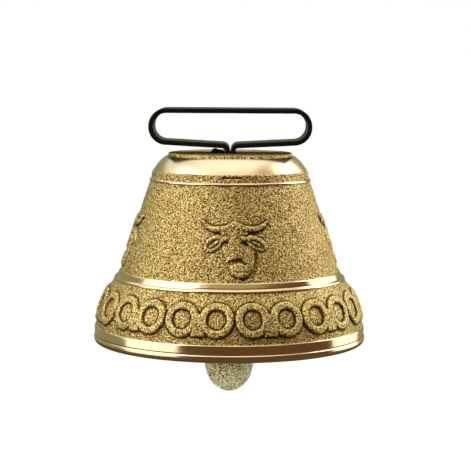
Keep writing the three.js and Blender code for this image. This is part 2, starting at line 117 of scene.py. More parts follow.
# These places are (step out from BODY_END_RADIUS, SKIRT_TOP_RADIUS, RIM_RADIUS or MOUTH_RADIUS, drop).
MID_BAND = ((0.05, BODY_END), (0.5, BODY_END + 0.1), (1.4, 50.95), (1.3, 51.1))
BEAD = ((-0.5, 51.2), (0.4, 51.5), (0.3, 52.25))
RIM_ROUND = ((-0.4, RIM_TOP - 0.1), (-0.05, RIM_TOP), (0.0, RIM_TOP + 0.4))
RIM_GROOVE = ((0.02, RIM_LINE - 0.2), (-0.15, RIM_LINE - 0.05), (-0.2, RIM_LINE))
LIP_SHOULDER = ((-0.05, RIM_LINE + 0.4), (0.0, RIM_LINE + 0.55))
LIP_ROUND = ((0.0, BELL_HEIGHT - 1.7), (-0.1, BELL_HEIGHT), (-1.9, BELL_HEIGHT))

WALL = 3.5
LIP_WALL = 4.6
LIP_WALL_REACH = 6.0  # the wall is LIP_WALL thick up to this far above the mouth
LIP_INNER_ROUND = 0.9
LIP_INNER_PULL = 0.1
LIP_REACH = 1.5
CROWN_THICKNESS = 4.0
CROWN_FILLET = 12.0
INNER_MARGIN = 0.5  # between neighbouring runs of the inside
SLOT_HALF_X = 2.7
SLOT_HALF_Y = 10.3
POCKET_REACH = 4.2  # the wedge's pocket, at the slot's left
POCKET_HALF_Y = 4.3

# ---- Cast skin: layers of noise as (height, lump size, seed) ----
BELL_GRAIN = ((0.05, 0.9, 11), (0.08, 0.6, 12), (0.08, 4.5, 13))
BELL_WAVE = ((0.035, 16.0, 14),)
INSIDE_GRAIN = 0.5
SLOT_FADE = 0.08  # the grain dies out over this share of the crown, beside the slot
BALL_GRAIN = ((0.07, 1.1, 31), (0.056, 0.65, 32), (0.105, 4.0, 33))
STRIP_WAVE = 0.03
STRIP_WAVE_SIZE = 9.0
STRIP_WAVE_SEEDS = (21, 22, 23)

# ---- Relief ----
RELIEF_TURN = math.radians(2.5)  # the heads and the frieze sit this far round from dead ahead
RELIEF_MARGIN = 0.3
HEADS = 4
HEAD_MIDDLE = 36.3
HEAD_REACH = 13.0
HEAD_DEPTH = 0.7
RINGS = 24
RING_MIDDLE = 62.1
RING_REACH = 8.0
RING_RADIUS = 5.35
RING_STROKE = 2.9
RING_HEIGHT = 0.95
RING_TALLER = 0.96  # the rings are a little taller than wide
PIER_START = 4.4
PIER_END = 7.4
PIER_ROUND = 0.8
PIER_TOP = 3.2
PIER_TOP_FADE = 2.0
PIER_BOTTOM = -6.9
PIER_BOTTOM_FADE = 0.7
NICK_MIDDLE = 8.5
NICK_SIDE = 1.0
NICK_HALF = 4.2
NICK_FADE = 0.8
NICK_HALF_HEIGHT = 0.5
NICK_DEPTH = 0.4

# The patina and painted shade compare a point's height with the mean over this many cells each way round it.
HOLLOW_REACH = 3
EDGE_REACH = 2
CAST_EDGE_SHADING = 1.0  # how much the relief's own edges count in the painted shade and highlight

# ---- Loop, pin, link and ball ----
LOOP_INNER_HEIGHT = 10.7
LOOP_FALL = 1.7  # each lower bar falls this much towards the neck
LEG_HALF_GAP = 0.2
CLEVIS_HALF_GAP = 4.2
STRIP_BEND = 2.0
STRIP_EDGE = 0.45
PIN_RADIUS = 2.5
PIN_FILLET = (0.1, 0.15)  # wider by this, over this length
PIN_HEAD_RADIUS = 4.5
PIN_HEAD_THICKNESS = 2.0
PIN_HEAD_EDGE = 0.4
PIN_HEAD_CHAMFER = 0.2
LINK_WIRE = 1.7
LINK_HALF_WIDTH = 6.5
LINK_BEND = 2.5
BALL_RADIUS = 10.3
BALL_COLLAR = 5.4
BALL_COLLAR_ROUND = 0.5
BALL_TOP = 13.3  # the collar's top over the ball's widest place
BALL_BORE = 3.3
BALL_BORE_CHAMFER = (0.1, 0.3)  # wider by this, this deep
BALL_BORE_DEPTH = 13.2
SOFT_EDGE = 0.3  # bevel on the pieces that stay CAD, where faces meet at more than this angle
SOFT_EDGE_ANGLE = 40

# ---- Studio, in metres ----
TARGET = Vector((0, 0, -0.055))
BOX_DISTANCE = 0.9
REFLECTION_CARD_DISTANCE = 1.6
REFLECTION_CARD_PLACES = 13
TABLE_REFLECTION_Z = -0.4
AMBIENT = 0.38  # the world as a light, where 1 is the white that the camera sees
FLOOR_HALF = 6.0
FLOOR_Z = -0.7
FLOOR_GLOW = 0.7
CAMERA_PLACE = (0.0024, -0.66, 0.0194)
CAMERA_TILT = 6.1
CAMERA_ROLL = 0.35
CAMERA_LENS = 121.5


# ---- Noise and mesh helpers ----

def lattice(cell, seed):
    """A repeatable number from -1 to 1 for each whole-number place in an (n, 3) array."""
    h = cell[:, 0] * 374761393 + cell[:, 1] * 668265263 + cell[:, 2] * 1274126177 + seed * 974711
    h = (h & 0xFFFFFFFF).astype(np.uint32)
    h ^= h >> np.uint32(13)
    h *= np.uint32(1274126177)
    h ^= h >> np.uint32(16)
    return h.astype(np.float64) / 2147483647.5 - 1.0


def noise(points, size, seed):
    """Smooth value noise from -1 to 1, with lumps of about that size."""
    place = points / size
    cell = np.floor(place).astype(np.int64)
    part = place - cell
    part = part * part * (3 - 2 * part)
    total = np.zeros(len(points))
    for corner in range(8):
        step = np.array([corner & 1, corner >> 1 & 1, corner >> 2 & 1])
        weight = np.prod(np.where(step, part, 1 - part), axis=1)
        total += weight * lattice(cell + step, seed)
    return total


def layered(points, layers):
    """The sum of layers of noise, each (height, lump size, seed)."""
    return sum(height * noise(points, size, seed) for height, size, seed in layers)


def smoothstep(low, high, value):
    """0 at low, 1 at high and smooth between, where low may be the larger number."""
    share = np.clip((value - low) / (high - low), 0, 1)
    return share * share * (3 - 2 * share)


def make_mesh(name, points, faces, material_index=None):
    """A smooth-shaded object from (n, 3) points in millimetres and (m, 4) or (m, 3) faces."""
    mesh = bpy.data.meshes.new(name)
    faces = np.asarray(faces, np.int32)
    sides = faces.shape[1]
    mesh.vertices.add(len(points))
    mesh.vertices.foreach_set("co", (np.asarray(points) * MM).astype(np.float32).ravel())
    mesh.loops.add(faces.size)
    mesh.loops.foreach_set("vertex_index", faces.ravel())
    mesh.polygons.add(len(faces))
    mesh.polygons.foreach_set("loop_start", np.arange(0, faces.size, sides, dtype=np.int32))
    if material_index is not None:
        mesh.polygons.foreach_set("material_index", np.asarray(material_index, np.int32))
    mesh.update(calc_edges=True)
    mesh.validate()
    mesh.polygons.foreach_set("use_smooth", np.ones(len(faces), bool))
    piece = bpy.data.objects.new(name, mesh)
    bpy.context.scene.collection.objects.link(piece)
    return piece


def grid_faces(rows, columns, close_rows=False):
    """Quads of a grid that is closed round its columns, and round its rows too if close_rows."""
    last = rows if close_rows else rows - 1
    row = np.arange(last)[:, None]
    column = np.arange(columns)[None, :]
    next_row = (row + 1) % rows
    next_column = (column + 1) % columns
    quads = [row * columns + column, row * columns + next_column,
             next_row * columns + next_column, next_row * columns + column]
    return np.stack(quads, axis=-1).reshape(-1, 4)


def capped_tube(rows, columns):
    """Triangles of a tube of rings, closed by a fan round each of the two points that follow the rings."""
    quads = grid_faces(rows, columns)
    triangles = quads[:, [0, 1, 2]].tolist() + quads[:, [0, 2, 3]].tolist()
    first_middle, last_ring = rows * columns, (rows - 1) * columns
    for k in range(columns):
        follow = (k + 1) % columns
        triangles.append([first_middle, follow, k])
        triangles.append([first_middle + 1, last_ring + k, last_ring + follow])
    return triangles


def store_patina_and_shade(piece, height):
    """Stores how far each point stands out from its surroundings, for the patina, painted shade and painted
    highlight to read.
    """
    relief_patina_and_shade = piece.data.attributes.new("relief_patina_and_shade", "FLOAT", "POINT")
    relief_patina_and_shade.data.foreach_set("value", height.astype(np.float32).ravel())


def resample(points, step):
    """Points at even steps along a line through the given points."""
    points = np.asarray(points, float)
    length = np.concatenate([[0], np.cumsum(np.linalg.norm(np.diff(points, axis=0), axis=1))])
    count = max(2, int(math.ceil(length[-1] / step)) + 1)
    at = np.linspace(0, length[-1], count)
    return np.column_stack([np.interp(at, length, points[:, i]) for i in range(points.shape[1])])


def bend(start, pull, end, count):
    """A quadratic curve from start to end that leans towards pull."""
    t = np.linspace(0, 1, count)[:, None]
    start, pull, end = (np.asarray(p, float) for p in (start, pull, end))
    return (1 - t) ** 2 * start + 2 * t * (1 - t) * pull + t ** 2 * end


# ---- Bell profile ----

def skirt_radius(drop):
    """The skirt flares out from the mid band and runs on upright from SKIRT_FULL down."""
    left = np.clip((SKIRT_FULL - drop) / (SKIRT_FULL - SKIRT_TOP), 0, 1)
    return SKIRT_END_RADIUS - (SKIRT_END_RADIUS - SKIRT_TOP_RADIUS) * left ** 2


def body_radius(drop):
    """The body is a straight cone from the collar's line to the mid band."""
    share = (drop - BODY_START) / (BODY_END - BODY_START)
    return BODY_TOP_RADIUS + share * (BODY_END_RADIUS - BODY_TOP_RADIUS)


def outer_radius(drop):
    """The plain casting's outer radius, from the body's top to the mouth."""
    return np.where(drop < BODY_END, body_radius(drop),
                    np.where(drop < SKIRT_TOP,
                             np.interp(drop, [BODY_END, SKIRT_TOP], [BODY_END_RADIUS, SKIRT_TOP_RADIUS]),
                             skirt_radius(np.maximum(drop, SKIRT_TOP))))


def beside(radius, places):
    """Places given as (step out from a radius, drop)."""
    return [(radius + step, drop) for step, drop in places]


def outside_runs():
    """(places, zone) of each run of the outside, from the crown's flat down to the mouth."""
    boss_round = bend((BOSS_RADIUS - BOSS_ROUND, 0), (BOSS_RADIUS, 0), (BOSS_RADIUS, BOSS_ROUND), 6)
    boss_edge = np.vstack([[(CROWN_FLAT, 0)], boss_round, BOSS_FOOT])
    shoulder = bend(*SHOULDER, 24)
    line = np.vstack([[COLLAR_LINE_TOP], bend(*COLLAR_LINE, 8)])
    body = [(BODY_TOP_RADIUS, BODY_START), (BODY_END_RADIUS, BODY_END - BODY_MARGIN)]
    mid_band = beside(BODY_END_RADIUS, MID_BAND)
    bead = bend(*beside(SKIRT_TOP_RADIUS, BEAD), 9)
    skirt_drop = np.linspace(SKIRT_TOP, RIM_TOP - SKIRT_MARGIN, 24)
    skirt = np.column_stack([skirt_radius(skirt_drop), skirt_drop])
    lip_start, lip_next = beside(MOUTH_RADIUS, LIP_SHOULDER)
    rim = np.vstack([bend(*beside(RIM_RADIUS, RIM_ROUND), 5), beside(RIM_RADIUS, RIM_GROOVE), [lip_start]])
    edge = np.vstack([[lip_next], bend(*beside(MOUTH_RADIUS, LIP_ROUND), 12)])
    return [(boss_edge, ROUGH), (shoulder, SATIN), (COLLAR, ROUGH), (line, POLISHED), (body, ROUGH),
            (mid_band, POLISHED), (bead, POLISHED), (skirt, ROUGH), (rim, POLISHED), (edge, POLISHED)]


def inside_run():
    """Places from the lip up the inside to the edge of the flat under the crown."""
    inner = SKIRT_END_RADIUS - LIP_WALL
    lip = bend((inner + LIP_INNER_ROUND, BELL_HEIGHT), (inner + LIP_INNER_PULL, BELL_HEIGHT),
               (inner, BELL_HEIGHT - LIP_INNER_ROUND), 6)
    drop = np.linspace(BELL_HEIGHT - LIP_REACH, CROWN_THICKNESS + CROWN_FILLET, 60)
    thickness = WALL + (LIP_WALL - WALL) * smoothstep(BODY_END, BELL_HEIGHT - LIP_WALL_REACH, drop)
    wall = np.column_stack([outer_radius(drop) - thickness, drop])
    slope = math.atan2(BODY_END_RADIUS - BODY_TOP_RADIUS, BODY_END - BODY_START)
    end_drop = CROWN_THICKNESS + CROWN_FILLET * (1 - math.sin(slope))
    centre = float(outer_radius(np.array(end_drop))) - WALL - CROWN_FILLET * math.cos(slope)
    angle = np.linspace(slope, math.pi / 2, 12)
    fillet = np.column_stack([centre + CROWN_FILLET * np.cos(angle),
                              CROWN_THICKNESS + CROWN_FILLET * (1 - np.sin(angle))])
    wall = wall[wall[:, 1] > end_drop + INNER_MARGIN]
    return np.vstack([lip, wall, fillet])


def slot_edge(angle):
    """Distance from the axis to the edge of the slot in the crown, with the wedge's pocket at the left."""
    def rectangle(left, half_y):
        across = np.where(np.cos(angle) > 0, SLOT_HALF_X, left)
        return np.minimum(across / np.maximum(np.abs(np.cos(angle)), 1e-6),
                          half_y / np.maximum(np.abs(np.sin(angle)), 1e-6))
    return np.maximum(rectangle(SLOT_HALF_X, SLOT_HALF_Y), rectangle(POCKET_REACH, POCKET_HALF_Y))


# ---- Relief as height over the plain casting, in millimetres ----

def dome(x, y, cx, cy, half_x, half_y, tilt, height, power=0.5):
    """A lump round (cx, cy) with these half sizes and tilt in degrees. A low power gives steep sides."""
    c, s = math.cos(math.radians(tilt)), math.sin(math.radians(tilt))
    dx, dy = x - cx, y - cy
    q = ((dx * c + dy * s) / half_x) ** 2 + ((dy * c - dx * s) / half_y) ** 2
    return height * np.clip(1 - q, 0, 1) ** power


def stroke(x, y, path, height, power=0.5):
    """A rounded ridge along a path of [x, y, half width] points."""
    total = np.zeros_like(x)
    for (ax, ay, aw), (bx, by, bw) in zip(path, path[1:]):
        length = max((bx - ax) ** 2 + (by - ay) ** 2, 1e-9)
        t = np.clip(((x - ax) * (bx - ax) + (y - ay) * (by - ay)) / length, 0, 1)
        away = np.hypot(x - ax - t * (bx - ax), y - ay - t * (by - ay)) / (aw + t * (bw - aw))
        total = np.maximum(total, height * np.clip(1 - away ** 2, 0, 1) ** power)
    return total


def head_relief(x, y):
    """A bull's head about 26 mm wide and 23 mm high, its nose turned a little to the right.

    Each part is placed from the head's middle, x to the right and y up.
    """
    jaw = dome(x, y, 4.4, -4.4, 4.0, 6.6, -14, 0.75)
    cheek = stroke(x, y, [(-0.4, 4.8, 4.5), (-0.1, 1.0, 4.4), (0.5, -3.0, 3.8)], 0.95, 0.3)
    bridge = stroke(x, y, [(0.4, 6.0, 3.0), (0.9, -2.6, 2.8)], 1.2, 0.35)
    muzzle = dome(x, y, 2.1, -7.5, 3.9, 3.6, -8, 1.2, 0.3)
    lip = dome(x, y, 2.6, -9.5, 3.4, 1.6, -8, 1.3, 0.4)
    poll = stroke(x, y, [(-3.4, 7.6, 2.2), (0.4, 8.9, 2.8), (3.8, 7.8, 2.2)], 1.1, 0.35)
    left_horn = [(-4.2, 8.7, 1.3), (-7.8, 8.5, 1.15), (-10.5, 9.6, 1.0), (-12.1, 11.7, 0.5)]
    right_horn = [(4.4, 8.7, 1.4), (8.8, 8.4, 1.2), (11.7, 9.6, 1.1), (13.5, 11.5, 0.5)]
    horns = np.maximum(stroke(x, y, left_horn, 1.35, 0.45), stroke(x, y, right_horn, 1.4, 0.45))
    ears = np.maximum(dome(x, y, -8.0, 2.7, 4.6, 2.8, 38, 1.1, 0.3),
                      dome(x, y, 9.0, 2.9, 5.0, 2.6, -28, 1.1, 0.3))
    hollows = dome(x, y, -7.9, 2.5, 3.3, 1.7, 38, 1.1) + dome(x, y, 9.1, 2.4, 3.8, 1.4, -28, 1.1)
    folds = dome(x, y, -7.6, 2.6, 2.5, 0.65, 38, 0.85) + dome(x, y, 9.4, 2.3, 2.7, 0.55, -28, 0.8)
    brows = np.maximum(dome(x, y, -3.3, 4.6, 2.4, 1.1, 18, 1.4, 0.4),
                       dome(x, y, 4.3, 4.6, 2.4, 1.1, -18, 1.4, 0.4))
    height = np.maximum.reduce([jaw, cheek, bridge, muzzle, lip, poll, horns, ears - hollows + folds, brows])
    sockets = dome(x, y, -3.5, 2.6, 2.0, 0.95, 18, 0.8, 0.8) + dome(x, y, 4.5, 2.6, 2.1, 0.95, -18, 0.8, 0.8)
    eyes = dome(x, y, -3.5, 2.3, 0.8, 0.5, 18, 0.45) + dome(x, y, 4.5, 2.3, 0.8, 0.5, -18, 0.45)
    nose_edge = [(-4.4, -6.6, 0.6), (-0.8, -4.7, 1.0), (2.4, -4.0, 1.0), (4.4, -5.5, 0.6)]
    above_nose = stroke(x, y, nose_edge, 1.1, 0.6)
    mouth = stroke(x, y, [(-0.6, -8.5, 0.4), (2.2, -8.9, 0.5), (4.8, -8.6, 0.4)], 0.15, 0.8)
    # A shallow groove beside the jaw, which the painted shade darkens.
    jaw_edge = [(8.8, -1.6, 0.9), (9.3, -5.4, 1.4), (7.8, -9.6, 1.4), (3.4, -11.6, 0.9)]
    beside_jaw = stroke(x, y, jaw_edge, 0.6, 0.6)
    height = height - sockets + eyes - np.minimum(above_nose, 0.85 * height) - mouth - beside_jaw
    # Curly hair on the poll.
    curl = 0.22 * np.sin(3.4 * x + 1.3 * np.sin(1.7 * y)) * np.sin(1.9 * y + 0.8 * x)
    return height + curl * dome(x, y, 0.4, 8.4, 5.6, 2.8, 0, 1.0)


def ring_relief(x, y, side):
    """One whole frieze ring, and its half of the pier that joins it to the ring on that side."""
    away = np.abs(np.hypot(x, y * RING_TALLER) - RING_RADIUS) / (RING_STROKE / 2)
    ring = RING_HEIGHT * np.clip(1 - away ** 4, 0, 1) ** 0.4
    pier_edge = np.clip((x * side - PIER_START) / PIER_ROUND, 0, 1)
    pier = np.where(x * side < PIER_END, RING_HEIGHT * (1 - (1 - pier_edge) ** 2) ** 0.5, 0.0)
    pier *= (smoothstep(PIER_TOP, PIER_TOP - PIER_TOP_FADE, y)
             * smoothstep(PIER_BOTTOM, PIER_BOTTOM + PIER_BOTTOM_FADE, y))
    return np.maximum(ring, pier)


def blurred(field, reach):
    """Mean over a square of cells, that many each way."""
    for axis in (0, 1):
        field = sum(np.roll(field, k, axis=axis) for k in range(-reach, reach + 1)) / (2 * reach + 1)
    return field


def relief(angle, drop, along):
    """Height of the heads, the frieze and the collar's nick over the rough rows, in order of drop."""
    height = np.zeros_like(angle)
    radius = outer_radius(drop)
    turn = angle + math.pi / 2 - RELIEF_TURN

    def from_nearest(pitch, shift):
        """The turn from the nearest of the things repeated at that pitch, and its number."""
        index = np.round((turn - shift) / pitch)
        return turn - shift - index * pitch, index

    near = (drop > HEAD_MIDDLE - HEAD_REACH) & (drop < BODY_END - RELIEF_MARGIN)
    offset, _ = from_nearest(TAU / HEADS, 0.0)
    up = np.interp(HEAD_MIDDLE, drop[:, 0], along[:, 0]) - along
    height[near] = HEAD_DEPTH * head_relief((offset * radius)[near], up[near])

    near = (drop > RING_MIDDLE - RING_REACH) & (drop < RIM_TOP - RELIEF_MARGIN)
    pitch = TAU / RINGS
    up = np.interp(RING_MIDDLE, drop[:, 0], along[:, 0]) - along
    offset, index = from_nearest(pitch, pitch / 2)
    for shift in (-1, 0, 1):
        x = (offset - shift * pitch) * radius
        side = np.where((index + shift) % 2 == 0, 1.0, -1.0)
        height[near] = np.maximum(height[near], ring_relief(x[near], up[near], side[near]))

    front = ((angle + 1.5 * math.pi) % TAU - math.pi) * radius
    nick = (np.clip(1 - ((drop - NICK_MIDDLE) / NICK_HALF_HEIGHT) ** 2, 0, 1)
            * smoothstep(NICK_HALF, NICK_HALF - NICK_FADE, np.abs(front - NICK_SIDE)))
    return height - NICK_DEPTH * nick


# ---- Bell shell ----

def shell_rows():
    """Places round the wall's section, their zones, and how far out from the slot a flat's rows lie.

    That share is 0 at the slot and 1 at the place's own radius, and it is nan off the crown's two flats.
    """
    rows, zones, shares = [], [], []

    def add(places, zone, share=None):
        rows.extend(tuple(place) for place in places)
        zones.extend([zone] * len(places))
        shares.extend([np.nan] * len(places) if share is None else share)

    share = np.linspace(0.0, 1.0, CROWN_ROWS)[:-1]
    add([(CROWN_FLAT, 0.0)] * len(share), ROUGH, share)
    for places, zone in outside_runs():
        add(resample(places, ROUGH_STEP if zone == ROUGH else POLISHED_STEP), zone)
    add(resample(inside_run(), INSIDE_STEP), INSIDE)
    share = np.linspace(1.0, 0.0, UNDER_ROWS)
    add([(rows[-1][0] - INNER_MARGIN, CROWN_THICKNESS)] * len(share), INSIDE, share)
    add([(0.0, drop) for drop in SLOT_WALL_DROPS], INSIDE, [0.0] * len(SLOT_WALL_DROPS))
    return np.array(rows), np.array(zones), np.array(shares)


def row_directions(rows, on_crown):
    """The way out of the metal at each row, as its outward and upward parts."""
    tangent = np.roll(rows, -1, axis=0) - np.roll(rows, 1, axis=0)
    tangent /= np.maximum(np.linalg.norm(tangent, axis=1, keepdims=True), 1e-9)
    out, up = tangent[:, 1:].copy(), tangent[:, :1].copy()
    out[on_crown] = 0
    up[on_crown] = 0
    up[on_crown & (rows[:, 1] == 0)] = 1
    up[on_crown & (rows[:, 1] == CROWN_THICKNESS)] = -1
    return out, up


def bell_shell():
    """The casting: the wall's section turned round the axis, with its relief and its cast skin."""
    rows, zones, shares = shell_rows()
    on_crown = ~np.isnan(shares)
    on_flat = on_crown[:, None]
    share = np.where(on_crown, shares, 0.0)[:, None]
    angle = np.arange(COLUMNS) * TAU / COLUMNS
    edge = slot_edge(angle)
    radius = np.where(on_flat, edge + share * (rows[:, :1] - edge), rows[:, :1])
    drop = np.broadcast_to(rows[:, 1:], radius.shape)
    around = np.broadcast_to(angle, radius.shape)
    steps = np.linalg.norm(np.diff(rows, axis=0), axis=1)
    along = np.broadcast_to(np.concatenate([[0], np.cumsum(steps)])[:, None], radius.shape)
    points = np.stack([radius * np.cos(around), radius * np.sin(around), CROWN_Z - drop], axis=-1)

    places = points.reshape(-1, 3)
    grain = layered(places, BELL_GRAIN).reshape(radius.shape)
    wave = layered(places, BELL_WAVE).reshape(radius.shape)
    rough = (zones == ROUGH)[:, None]
    inner = (zones == INSIDE)[:, None]
    fade = np.where(on_flat, smoothstep(0.0, SLOT_FADE, share), 1.0)
    height = np.where(rough, grain * fade, wave) + np.where(inner, INSIDE_GRAIN * grain * fade, 0.0)
    height = np.where(on_flat & (share == 0), 0.0, height)
    outside = ~on_crown & (zones == ROUGH)
    cast = np.zeros_like(height)
    cast[outside] = relief(around[outside], drop[outside], along[outside])
    height += cast
    # Patina and painted shade darken the hollows, and wear and painted highlight lighten the crests, by how
    # far each point stands above or below its surroundings.
    relief_patina_and_shade = height - blurred(height, HOLLOW_REACH) + CAST_EDGE_SHADING * (cast - blurred(cast, EDGE_REACH))
    out, up = row_directions(rows, on_crown)
    points[..., 0] += height * out * np.cos(around)
    points[..., 1] += height * out * np.sin(around)
    points[..., 2] += height * up

    faces = grid_faces(len(rows), COLUMNS, close_rows=True)[:, ::-1]
    following = np.roll(zones, -1)
    between_zones = np.where((zones == INSIDE) | (following == INSIDE), INSIDE, ROUGH)
    face_zone = np.where(zones == following, zones, between_zones)
    piece = make_mesh("bell_casting", points.reshape(-1, 3), faces, np.repeat(face_zone, COLUMNS))
    store_patina_and_shade(piece, relief_patina_and_shade)
    cast_brass = rough_brass("bell_rough_brass", low=(0.56, 0.395, 0.145), high=(0.68, 0.50, 0.19), metal=1.0)
    polished_brass = turned_brass("bell_polished_brass", smoothest=0.11, roughest=0.2)
    satin_brass = turned_brass("bell_satin_brass", smoothest=0.2, roughest=0.3)
    for material in (cast_brass, polished_brass, inner_brass(), satin_brass):
        piece.data.materials.append(material)
    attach(piece, "bell")
    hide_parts("bell_shell")


# ---- Strip, wire and turned pieces ----

def rounded_path(corners):
    """A path of [x, z] points through [x, z, radius] corners, each inner one replaced by an arc."""
    path = [np.array(corners[0][:2], float)]
    for before, corner, after in zip(corners, corners[1:], corners[2:]):
        at = np.array(corner[:2], float)
        back = np.array(before[:2], float) - at
        on = np.array(after[:2], float) - at
        back /= np.linalg.norm(back)
        on /= np.linalg.norm(on)
        half = math.acos(max(-1.0, min(1.0, float(back @ on)))) / 2
        middle = (back + on) / np.linalg.norm(back + on)
        centre = at + middle * corner[2] / math.sin(half)
        start = at + back * corner[2] / math.tan(half) - centre
        turn = -(math.pi - 2 * half) * np.sign(back[0] * on[1] - back[1] * on[0])
        count = max(3, int(abs(turn) / ARC_STEP))
        for k in range(count + 1):
            a = turn * k / count
            c, s = math.cos(a), math.sin(a)
            path.append(centre + np.array([c * start[0] - s * start[1], s * start[0] + c * start[1]]))
    path.append(np.array(corners[-1][:2], float))
    return np.array(path)


def swept(path, section, closed=False):
    """Sweeps an [out, across] section along a path in a plane, returning rings of (across, p, q) points."""
    if closed:
        into = path - np.roll(path, 1, axis=0)
        on = np.roll(path, -1, axis=0) - path
    else:
        into = np.diff(path, axis=0, prepend=path[:1] * 2 - path[1:2])
        on = np.diff(path, axis=0, append=path[-1:] * 2 - path[-2:-1])
    into /= np.linalg.norm(into, axis=1, keepdims=True)
    on /= np.linalg.norm(on, axis=1, keepdims=True)
    along = into + on
    along /= np.linalg.norm(along, axis=1, keepdims=True)
    normal = np.column_stack([-along[:, 1], along[:, 0]]) / np.sum(along * into, axis=1, keepdims=True)
    rings = path[:, None, :] + section[None, :, :1] * normal[:, None, :]
    across = np.broadcast_to(section[None, :, 1:], rings.shape[:2] + (1,))
    return np.concatenate([across, rings], axis=-1)


def rounded_section(half_thick, half_wide, corner):
    """A closed [out, across] outline of a flat bar with rounded edges."""
    outline = []
    for sign_out, sign_across, start in ((1, 1, 0), (-1, 1, 90), (-1, -1, 180), (1, -1, 270)):
        for k in range(STRIP_EDGE_STEPS + 1):
            a = math.radians(start + 90 * k / STRIP_EDGE_STEPS)
            outline.append([sign_out * (half_thick - corner) + corner * math.cos(a),
                            sign_across * (half_wide - corner) + corner * math.sin(a)])
    section = []
    for a, b in zip(outline, outline[1:] + outline[:1]):
        gap = math.hypot(b[0] - a[0], b[1] - a[1])
        count = max(1, int(gap / (2 * half_wide) * STRIP_WIDTH_STEPS))
        for k in range(count):
            section.append([a[0] + (b[0] - a[0]) * k / count, a[1] + (b[1] - a[1]) * k / count])
    return np.array(section)


def loop_corners():
    """The middle line's [x, z, radius] corners, from the left leg's end round the loop to the right's."""
    thick = loop_high.z
    half_width = loop_high.x - thick / 2
    lower = thick / 2 - LOOP_INNER_HEIGHT - thick
    end_radius = (LOOP_INNER_HEIGHT + thick) / 2
    leg_x = LEG_HALF_GAP + thick / 2
    clevis_x = CLEVIS_HALF_GAP + thick / 2
    spread_top = washer_low.z - FIT_GAP - STRIP_BEND * math.tan(math.pi / 8)
    right = [(half_width, thick / 2, end_radius), (half_width, lower, end_radius),
             (leg_x, lower - LOOP_FALL, STRIP_BEND), (leg_x, spread_top, STRIP_BEND),
             (clevis_x, spread_top - (clevis_x - leg_x), STRIP_BEND), (clevis_x, loop_low.z, 0)]
    return [(-x, z, r) for x, z, r in reversed(right)] + right


def strap_loop():
    """The flat strip, bent round the loop with both ends down through the crown, a little uneven."""
    path = resample(rounded_path(loop_corners()), STRIP_STEP)
    section = rounded_section(loop_high.z / 2, loop_high.y, STRIP_EDGE)
    rings = swept(path, section)
    flat = np.stack([rings[..., 1], rings[..., 0], rings[..., 2]], axis=-1).reshape(-1, 3)
    flat += STRIP_WAVE * np.column_stack([noise(flat, STRIP_WAVE_SIZE, seed) for seed in STRIP_WAVE_SEEDS])
    ends = np.array([flat[:len(section)].mean(0), flat[-len(section):].mean(0)])
    piece = make_mesh("strap_loop_strip", np.vstack([flat, ends]), capped_tube(len(path), len(section)))
    piece.data.materials.append(black_lacquer())
    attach(piece, "bell")
    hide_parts("strap_loop")


def turned_piece(name, outline, columns, material, body, node, axis="Z", grain=()):
    """A solid of revolution from [radius, height] points that start and end on the axis.

    Its grain, where it has any, moves the points out from its middle.
    """
    outline = np.asarray(outline, float)
    angle = np.arange(columns) * TAU / columns
    inner = outline[1:-1]
    ring = np.stack([inner[:, :1] * np.cos(angle), inner[:, :1] * np.sin(angle),
                     np.broadcast_to(inner[:, 1:], (len(inner), columns))], axis=-1).reshape(-1, 3)
    points = np.vstack([ring, [[0, 0, outline[0, 1]], [0, 0, outline[-1, 1]]]])
    lumps = np.zeros(len(points))
    if grain:
        out = points - [0, 0, 1] * points[:, 2:].mean(0)
        out /= np.maximum(np.linalg.norm(out, axis=1, keepdims=True), 1e-9)
        lumps = layered(points, grain)
        points = points + out * lumps[:, None]
    if axis == "X":
        points = points[:, [2, 0, 1]]
    piece = make_mesh(name, points, capped_tube(len(inner), columns))
    # The lumps also feed the patina, painted shade and painted highlight of a rough brass finish.
    store_patina_and_shade(piece, lumps)
    piece.data.materials.append(material)
    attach(piece, body)
    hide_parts(node)
    return piece


def clapper_ball():
    """A long rough ball with a short collar, bored for the rod."""
    middle = ball_high.z - BALL_TOP
    half = middle - ball_low.z
    angle = np.linspace(-math.pi / 2, math.acos(BALL_COLLAR / BALL_RADIUS), BALL_ROWS)
    body = np.column_stack([BALL_RADIUS * np.cos(angle), middle + half * np.sin(angle)])
    body[0, 0] = 0
    wider, deep = BALL_BORE_CHAMFER
    top = [[BALL_COLLAR - BALL_COLLAR_ROUND, ball_high.z], [BALL_BORE + wider, ball_high.z],
           [BALL_BORE, ball_high.z - deep], [BALL_BORE, ball_high.z - BALL_BORE_DEPTH],
           [0, ball_high.z - BALL_BORE_DEPTH]]
    outline = np.vstack([body, resample([body[-1], top[0]], BALL_COLLAR_STEP)[1:], top[1:]])
    # The ball's brass is painted far paler than the bell's and given almost no metal: painted light that
    # stands in for the light it lacks in the bell's shade.
    brass = rough_brass("clapper_brass", low=(0.86, 0.77, 0.38), high=(0.96, 0.89, 0.50), metal=0.05)
    turned_piece("clapper_ball_cast", outline, BALL_COLUMNS, brass, "clapper", "clapper_ball",
                 grain=BALL_GRAIN)


